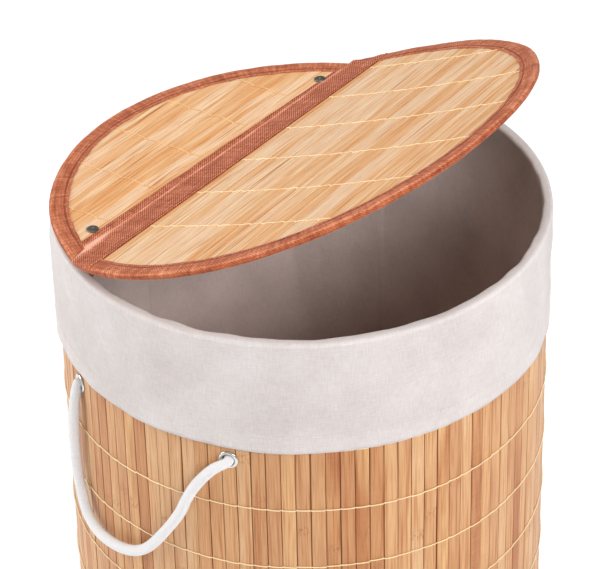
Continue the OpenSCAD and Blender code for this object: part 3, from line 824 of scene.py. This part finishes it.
def foot_tape():
    """A tape sewn round the foot of the wall, turned under it."""
    section = [(-4.4, 0.75), (-4.6, 0.4), (-4.4, 0.06), (-2, 0.0), (-0.4, 0.0), (0.35, 0.12), (0.75, 0.5),
               (0.86, 1.4), (0.84, 4), (0.8, 8), (0.82, 12), (0.72, 15.2), (0.5, 16.4), (0.72, 17.4),
               (0.78, 18.8), (0.62, 19.7), (0.3, 20.0), (0.04, 19.7), (0.02, 12), (0.0, 4), (0.0, 0.85),
               (-2, 0.8)]
    section = np.array(section) * MM
    a = np.linspace(0, TAU, 360, endpoint=False)[:, None]
    out, up = section[:, 0][None], section[:, 1][None]
    x, y = np.cos(a) * 0.2, np.sin(a) * 0.2
    outside = out > 0.3 * MM
    rr = FOOT_R + out + outside * 0.12 * MM * waves(21, x, y, up * 2, size=0.02)
    rr = np.minimum(rr, FOOT_R + 0.95 * MM)
    zz = up + (up > 14 * MM) * 0.25 * MM * waves(22, x, y, size=0.03)
    # The shade darkens the tape along its sewn groove: painted shade
    tags = joined(a * WALL_R, lengths(section)[None], -0.5 * bell(up, 16.4 * MM, 0.8 * MM) * outside)
    pile = Pile()
    pile.grid(joined(rr * np.cos(a), rr * np.sin(a), zz), tags, join_ends=True)
    pile.make("foot_tape", tape, "basket", 60, "bottom_binding", "binding")


def foot_seam(part):
    a = part * TAU
    rr = FOOT_R + np.array([0.45, 0.68, 0.72, 0.68, 0.45]) * MM
    return [joined(rr * np.cos(a), rr * np.sin(a), 16.4 * MM)]


foot_tape()
foot_line = Pile()
sew(foot_line, 300, foot_seam, np.array([0.1, 0.3, 0.5, 0.7, 0.9]), yarn=(0, 0))
foot_line.make("foot_stitches", tape_thread, "basket", slot="binding")

# ---------- lid ----------

fold = joint("lid_fold")
HINGE = Vector(fold["pos_m"])
TWIST = math.atan2(-fold["axis"][1], -fold["axis"][0])
PLACE = {half: Matrix.Translation(HINGE) @ Matrix.Rotation(TWIST, 4, "Z") @ Matrix.Rotation(tilt, 4, "X")
         for half, tilt in (("rear", math.radians(-3.1)), ("front", math.radians(-24.7)))}
RADIUS = {"rear": 174 * MM, "front": 179.5 * MM}
WAY = {"rear": 1, "front": -1}
BAND = {"rear": 6.5 * MM, "front": 27 * MM}
MIDDLE_Y = {"rear": -69.3 * MM, "front": -75 * MM}       # middle of each outline, from the fold
EDGE_W, LID_T, TAPE_T = 14 * MM, 4.6 * MM, 0.6 * MM
FOLD_GAP = 0.8 * MM
LID_PITCH = 10.2 * MM
LID_SLAT_T = 1.8 * MM
THREAD_X0, LID_THREAD_PITCH = -7.3 * MM, 51.2 * MM
FLAP_SAG, FLAP_TWIST = -3.9 * MM, 8.6 * MM               # how far the front flap is off flat
FLAP_LONG = RADIUS["front"] - MIDDLE_Y["front"]


def reach_x(half, inset, y):
    """Half the width of a half's outline, less an inset, at a distance from the fold."""
    return np.sqrt(np.maximum((RADIUS[half] - inset) ** 2 - (np.asarray(y) - MIDDLE_Y[half]) ** 2, 1e-9))


def placed(points, half):
    """Points of the lid, from the fold's frame to their place; the front flap sags and is twisted."""
    points = np.array(points, float)
    if half == "front":
        along = np.clip(-points[..., 1] / FLAP_LONG, 0, 1.02)
        points[..., 2] += FLAP_SAG * 4 * along * (1 - along) + FLAP_TWIST * along * points[..., 0] / RADIUS[half]
    return moved(points, PLACE[half])


def lid_slats(half):
    way, outline, middle = WAY[half], RADIUS[half] - 2 * MM, MIDDLE_Y[half]
    pile = Pile()
    number = 0
    while True:
        y0 = 2 * FOLD_GAP + (number + 0.5) * LID_PITCH
        if abs(way * (y0 - LID_PITCH / 2) - middle) > outline - 1 * MM:
            break
        width = LID_PITCH - (0.1 + rng.uniform(-0.06, 0.08)) * MM
        section = slat_section(width, LID_SLAT_T, 0.04 * MM, 0.32 * MM)
        across, depth = section[:, 0][None], section[:, 1][None]
        y = way * (y0 + across)
        y = middle + way * np.minimum(way * (y - middle), outline - 0.3 * MM)
        far = np.minimum(np.abs(y - middle), outline - 0.3 * MM)
        x = np.linspace(-1, 1, 46)[:, None] * np.sqrt(outline ** 2 - far ** 2)
        wobble = waves(2000 + number + 100 * way, x, size=0.12, layers=5) * 0.07 * MM
        tilt = rng.normal() * 0.012
        lift = -abs(rng.normal()) * 0.1 * MM + waves(2200 + number, x, size=0.3, layers=4) * 0.05 * MM
        z = -TAPE_T + np.minimum(depth + lift + tilt * across, 0.05 * MM)
        tags = joined(across, x, number + (200.5 if half == "rear" else 300.5))
        pile.grid(placed(joined(x, y + wobble, z), half), tags)
        number += 1
    pile.make("lid_slats_" + half, lid_bamboo, "lid_" + half, 50, "lid_%s_slats" % half, "lid_bamboo")


def lid_stitching(half):
    """Rows of thread: on each slat one slanting dash, with its ends pulled into the gaps."""
    way, band = WAY[half], BAND[half]
    slant, tucked, yarn = {"rear": (1.5, 4 * MM, tan_thread), "front": (0.9, 0, cream_thread)}[half]
    pile = Pile()
    for row in range(-2, 4):
        x0 = THREAD_X0 + row * LID_THREAD_PITCH
        for k in range(26):
            y0 = 2 * FOLD_GAP + k * LID_PITCH
            if y0 + LID_PITCH < band or reach_x(half, EDGE_W - 1.5 * MM, way * y0) < abs(x0):
                continue
            if abs(way * y0 - MIDDLE_Y[half]) > RADIUS[half] - EDGE_W:
                break
            jitter, tilt = rng.normal() * 0.22, slant + rng.normal() * 0.25
            zig = (-1) ** k if half == "rear" else 1
            # What the hinge tape hides is left out
            start = max((band + tucked - y0) / LID_PITCH - 0.08, 0) - 0.03
            path = [(x0 + (jitter + zig * tilt * (t - 0.5) + 0.25 * math.sin(math.pi * t)) * MM,
                     way * (y0 + t * LID_PITCH), -TAPE_T + h * MM)
                    for t, h in ((-0.02, -0.25), (0.03, 0.1), (0.1, 0.24), (0.35, 0.3), (0.65, 0.3),
                                 (0.9, 0.24), (0.97, 0.1), (1.02, -0.25)) if t > start]
            path = [(x, y, min(z, -TAPE_T) if abs(y) < band else z) for x, y, z in path]
            if len(path) > 3:
                pile.tube(placed(path, half), 0.33 * MM, 6, (0.4 * MM * k, 0.3, 0.12))
    pile.make("lid_stitching_" + half, yarn, "lid_" + half, 70, "lid_%s_threads" % half, "thread")


def edge_tape(half):
    """The tape folded round a half's curved edge, from one end of the fold to the other."""
    way, outline, middle = WAY[half], RADIUS[half], MIDDLE_Y[half]
    section = np.array([
        (-14.0, -0.5), (-14.15, -0.2), (-13.9, 0.06), (-13.3, 0.14), (-12.2, 0.1), (-11.2, -0.12), (-10.6, -0.14),
        (-9.8, 0.04), (-8, 0.14), (-5.5, 0.16), (-3.2, 0.12), (-1.5, -0.1), (-0.5, -0.75), (-0.05, -1.7),
        (0.0, -2.4), (-0.1, -3.3), (-0.6, -4.1), (-1.6, -4.55), (-3.5, -4.66), (-7, -4.68), (-9.8, -4.62),
        (-10.6, -4.48), (-11.2, -4.5), (-12.4, -4.66), (-13.6, -4.66), (-14.1, -4.4), (-14.0, -4.05),
        (-8, -4.02), (-2.2, -3.9), (-1.6, -2.4), (-2.2, -0.75), (-8, -0.62)]) * MM
    offset, level = section[:, 0][None], section[:, 1][None]
    count, meet = {"rear": (260, 0.9 * MM), "front": (420, -0.9 * MM)}[half]
    first = math.asin((way * 0.25 * MM - middle) / outline)
    t = np.linspace(0, 1, count)[:, None]
    base = first + way * t * (math.pi - way * 2 * first)
    start = np.arcsin((way * 0.25 * MM - middle) / (outline + offset)) - first
    turn = base + start * ((1 - t) ** 24 - t ** 24)
    x_in, y_in = 0.17 * np.cos(base), 0.17 * np.sin(base)
    upper = level > -2 * MM
    gather = waves(31 + way, x_in, y_in, offset * 2, size=0.016) * 0.10 * MM
    gather = gather + waves(34 + way, x_in, y_in, size=0.06) * 0.12 * MM
    inner_edge = bell(offset, -14 * MM, 1.2 * MM)
    rr = outline + offset + inner_edge * waves(37 + way, x_in, y_in, size=0.02) * 0.3 * MM
    rr = rr + waves(39 + way, x_in, y_in, size=0.09) * 0.25 * MM * (offset > -2 * MM)
    # The two outlines meet at the ends of the fold, and leave room there to fold back
    near_fold = np.exp(-np.minimum(t, 1 - t) * count * 1.6 / 14)
    rr = rr + near_fold * meet * (offset > -13 * MM)
    z = level + gather * np.where(upper, 1, -1) - near_fold * upper * 0.35 * MM
    # Shade for the pattern: painted shade in the sewn groove and on the tape's turned-down side, and painted
    # highlights on the inner hem's fold and along the outer shoulder
    groove, hem_highlight = bell(offset, -10.9 * MM, 0.7 * MM), bell(offset, -13.2 * MM, 0.8 * MM)
    shoulder = bell(offset, -1.2 * MM, 0.8 * MM) * (level > -1 * MM)
    flank = (level < -1.5 * MM) & (level > -4.4 * MM)
    tags = joined(turn * outline, lengths(section)[None],
                  -0.35 * groove + 0.1 * hem_highlight + 0.4 * shoulder - 0.35 * flank)
    pile = Pile()
    pile.grid(placed(joined(rr * np.cos(turn), middle + rr * np.sin(turn), z), half), tags)
    pile.make("lid_edge_" + half, tape, "lid_" + half, 60, "lid_%s_binding" % half, "binding")
    # Machine stitches in the groove, above and below
    line_r = outline - 10.9 * MM
    low = math.asin((way * 3 * MM - middle) / line_r)
    span = math.pi - way * 2 * low

    def seam(part):
        a = low + way * part * span
        return [placed(joined(line_r * np.cos(a), middle + line_r * np.sin(a), np.array(heights) * MM), half)
                for heights in ((-0.14, 0.06, 0.1, 0.06, -0.14), (-4.48, -4.68, -4.72, -4.68, -4.48))]

    sewn = Pile()
    sew(sewn, int(span * line_r / STITCH_PITCH), seam)
    sewn.make("lid_edge_stitches_" + half, tape_thread, "lid_" + half, slot="binding")


def under_tape(half):
    """The hinge tape on a half's underside, turned up round its straight edge."""
    way, w = WAY[half], BAND[half] / MM
    section = [(3.0, -0.66), (1.4, -0.6), (0.75, -0.9), (0.5, -1.8), (0.45, -2.6), (0.6, -3.7), (1.1, -4.35),
               (1.9, -4.6), (3.5, -4.62)]
    section += [(s, -4.62) for s in np.linspace(4.2, w - 3.4, 7 if half == "front" else 2)]
    section += [(w - 2.6, -4.46), (w - 1.6, -4.64), (w - 0.6, -4.64), (w, -4.4), (w - 0.1, -4.06), (w - 2, -4.02),
                (2.0, -4.02), (1.35, -3.7), (1.2, -2.4), (1.5, -1.1), (3.0, -0.9)]
    section = np.array(section) * MM
    y = way * section[:, 0][None]
    x = np.linspace(-1, 1, 150)[:, None] * reach_x(half, EDGE_W - 1.5 * MM, y)
    z = section[:, 1][None] + waves(51 + way, x, y * 3, size=0.03) * 0.06 * MM
    pile = Pile()
    pile.grid(placed(joined(x, y, z), half), joined(x, lengths(section)[None], 0.0))
    pile.make("lid_under_tape_" + half, twill, "lid_" + half, 60, "lid_%s_band" % half, "binding")


def hinge_tape():
    """One tape over both halves, which bends at the fold: rear strip, crease ridge, front strip."""
    front_w = BAND["front"] / MM
    # Across the tape: u runs from 1 at its rear edge through 0 at the fold to -1 at its front edge
    rear_u = [1.02, 1.0, 0.9, 0.78, 0.66, 0.5, 0.34, 0.22, 0.13, 0.06]
    front_y = [0.4, 0.8, 1.3, 2.0] + list(np.linspace(3, front_w - 4.4, 22)) + [
        front_w - 3.4, front_w - 2.8, front_w - 2.2, front_w - 1.4, front_w - 0.6, front_w, front_w + 0.05]
    u = np.array(rear_u + [0.0] + [-v / front_w for v in front_y])
    fold_row = len(rear_u)
    t = np.linspace(-1, 1, 260)[:, None]
    rear_side = (u >= 0)[None]
    # The rear edge is sewn on askew, wider at the left
    rear_w = 6.9 - 3.2 * t
    ys = np.where(rear_side, u[None] * rear_w, u[None] * front_w)
    y = ys * MM
    x_rear = t * reach_x("rear", EDGE_W - 2 * MM, y)
    # In front of the fold the tape runs out over the edge binding to the outline
    x_front = t * reach_x("front", 0.1 * MM, y)
    ease = step(0, -0.06, u)[None]
    x = x_rear * (1 - ease) + x_front * ease
    rear_line, front_line = 0.72 * rear_w, front_w - 2.8
    ridge = bell(ys, 0, 0.95)
    rear_groove = bell(ys, rear_line, 0.5) * rear_side
    front_groove = bell(ys, -front_line, 0.5)
    edge_roll = bell(ys, 1.0 - front_w, 0.8)
    over_edge = ease * step(-(EDGE_W + 1 * MM), -(EDGE_W - 2 * MM), np.abs(x) - reach_x("front", 0, y))
    lift = 0.06 + 0.62 * ridge - 0.28 * rear_groove - 0.3 * front_groove + 0.3 * edge_roll + 0.28 * over_edge
    for row, drop in ((0, -0.6), (1, -0.25), (-2, -0.1), (-1, -0.6)):
        lift[:, row] = drop + 0.22 * over_edge[:, row]
    top = lift * MM + waves(71, x, y * 2.2, size=0.028) * 0.12 * MM
    top = top + waves(73, x, size=0.012) * edge_roll * 0.14 * MM
    # The cloth bunches up into a fold near the fold line's left end, and puckers at both corners
    bunch = bell(x, -0.134, 0.016) * bell(ys, -1, 2.6)
    corner = bell(np.abs(x), 0.152, 0.009)
    top = top + waves(75, x, size=0.04) * ridge * 0.15 * MM + bunch * 1.0 * MM
    top = top + corner * ease * waves(76, x * 2, y * 0.6, size=0.009) * 0.3 * MM
    top = top + bell(x, 0.158, 0.005) * bell(ys, -3, 2.5) * 1.5 * MM
    # Past the outline's shoulder the tape turns down over the edge
    past = np.maximum(np.abs(x) - reach_x("front", 1.7 * MM, y), 0) * ease
    top = top - np.minimum(past * 0.95, 1.4 * MM)
    under = np.minimum(top - 0.3 * MM, -0.58 * MM + over_edge * 0.45 * MM)
    under = np.minimum(under, top - 0.12 * MM)
    sheets = []
    for sheet in (top, under):
        flat = joined(x, y, sheet)
        both = np.where(rear_side[..., None], placed(flat, "rear"), placed(flat, "front"))
        # Ease the kink at the fold line
        beside = (both[:, fold_row - 1] + both[:, fold_row + 1]) / 2
        both[:, fold_row] = beside * 0.35 + both[:, fold_row] * 0.65
        sheets.append(both)
    loop = np.concatenate([sheets[0], sheets[1][:, ::-1]], 1)
    # Painted light and shade: a painted highlight along the crease ridge, painted shade in the two sewn grooves,
    # the rear strip darker, a painted highlight on the front edge's roll, and a pale painted fold highlight near
    # the left end
    crisp = bell(ys, -0.2, 1.15)
    shade = crisp * (0.72 + 0.1 * waves(77, x, size=0.02)) - 0.4 * rear_groove - 0.3 * front_groove
    fold_highlight = bell(ys, 0.2, 1.2 + 3.2 * bell(x, -0.150, 0.03))
    shade = shade + 0.5 * edge_roll - 0.3 * rear_side * (1 - crisp)
    shade = np.maximum(shade, 1.3 * fold_highlight * bell(x, -0.138, 0.026))
    # The last two rows, at the front edge, are painted dark: painted shadow under the tape's edge
    shade[:, -2:] = -1.0
    tags = joined(x, y, shade)
    pile = Pile()
    pile.grid(loop, np.concatenate([tags, tags[:, ::-1]], 1))
    piece = pile.make("lid_hinge_tape", twill, sharp=60)
    across = Vector((0, 1, 0))
    across = (PLACE["rear"].to_3x3() @ across + PLACE["front"].to_3x3() @ across).normalized()
    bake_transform(piece)
    for half in ("rear", "front"):
        half_x = float(reach_x(half, EDGE_W + 1 * MM, WAY[half] * 3 * MM))

        def seam(part):
            xs = -half_x + part * 2 * half_x
            line = np.interp(xs / half_x, t[:, 0], rear_line[:, 0]) if half == "rear" else -front_line
            return [placed(joined(xs, line * MM, np.array(heights) * MM), half)
                    for heights in ((-0.28, -0.06, -0.02, -0.06, -0.28), (-4.46, -4.66, -4.7, -4.66, -4.46))]

        sewn = Pile()
        sew(sewn, int(2 * half_x / STITCH_PITCH), seam)
        sewn.make("lid_hinge_stitches_" + half, tape_thread, "lid_" + half, slot="binding")


def flap_board():
    """The stiffening board in the front flap, bent as the flap is."""
    inset, low, high = 1.4 * MM, -LID_T + TAPE_T, -LID_T + TAPE_T + 1.55 * MM
    ys = -np.concatenate([np.linspace(2 * FOLD_GAP, FLAP_LONG - 24 * MM, 30),
                          FLAP_LONG - inset - 22 * MM * np.linspace(1, 0.1, 12) ** 2])
    y = np.concatenate([ys, ys[::-1]])
    z = np.concatenate([0 * ys + high, 0 * ys + low])
    x = np.linspace(-1, 1, 40)[:, None] * reach_x("front", inset, y)[None]
    pile = Pile()
    pile.grid(placed(joined(x, y, z), "front"), (0, 0, 0))
    pile.make("lid_stiffener_front", pressed_board, "lid_front", 40, "lid_front_board", "board")


for half in ("rear", "front"):
    lid_slats(half)
    lid_stitching(half)
    edge_tape(half)
    under_tape(half)
hinge_tape()
flap_board()

# ---------- press-stud caps ----------

DOME = [(4.3, -0.3), (4.35, 0.1), (4.2, 0.35), (3.6, 0.62), (2.9, 0.78), (2.2, 0.84), (1.5, 0.86), (1.1, 0.8),
        (0.85, 0.5), (0.7, 0.2), (0.3, 0.12), (0.05, 0.1)]
PIN = [(0.05, -4.4), (1.4, -4.4), (1.4, -0.35)]

for side in ("left", "right"):
    middle = centre("stud_cap_" + side)
    middle.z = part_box("stud_cap_" + side)[1].z
    local = PLACE["rear"].inverted() @ middle
    pile = Pile()
    lathe(pile, [(r * MM, h * MM) for r, h in PIN + DOME],
          PLACE["rear"] @ Matrix.Translation((local.x, local.y, 0)), 40)
    pile.make("cap_" + side, bronze, "lid_rear", 50, "stud_cap_" + side, "bronze")

# ---------- finish of the CAD nodes that stay ----------

FINISH = {
    "backing_cloth": thin_cloth, "top_hoop": hoop_wood, "bottom_hoop": hoop_wood, "top_binding": tape,
    "base_board": pressed_board, "lid_bar": bar_wood, "bar_bracket_left": moulded, "bar_bracket_right": moulded,
    "lid_rear_board": pressed_board,
}
for node, piece in frame["nodes"].items():
    material = FINISH.get(node)
    if material is None and node.startswith(("bar_rivet", "stud_post", "washer", "stud_socket")):
        material = steel
    if material is None:
        continue
    piece.data.materials.clear()
    piece.data.materials.append(material)
    if not node.startswith(("backing", "top_", "bottom_hoop")):
        soften = piece.modifiers.new("edges", "BEVEL")
        soften.width = 0.6 * MM if node in ("lid_bar", "bar_bracket_left", "bar_bracket_right") else 0.2 * MM
        soften.segments, soften.limit_method, soften.angle_limit = 2, "ANGLE", math.radians(50)

# ---------- floor ----------

ground = Pile()
spread = np.linspace(-6, 6, 13)
gx, gy = np.meshgrid(spread, spread, indexing="ij")
ground.grid(np.stack([gx, gy, 0 * gx - 0.2 * MM], -1), (0, 0, 0), round_it=False)
floor_paint = Paint("floor", 0.9, Specular_IOR_Level=0.1, Emission_Strength=0.2)
floor_paint.surface.inputs["Emission Color"].default_value = (1, 1, 1, 1)
mottle = floor_paint.noise(floor_paint.place(), 3, 2)
paint = floor_paint.finish(floor_paint.ramp(mottle, (0.3, (250, 250, 250)), (0.7, (253, 253, 253))))
floor_piece = ground.make("floor", paint)
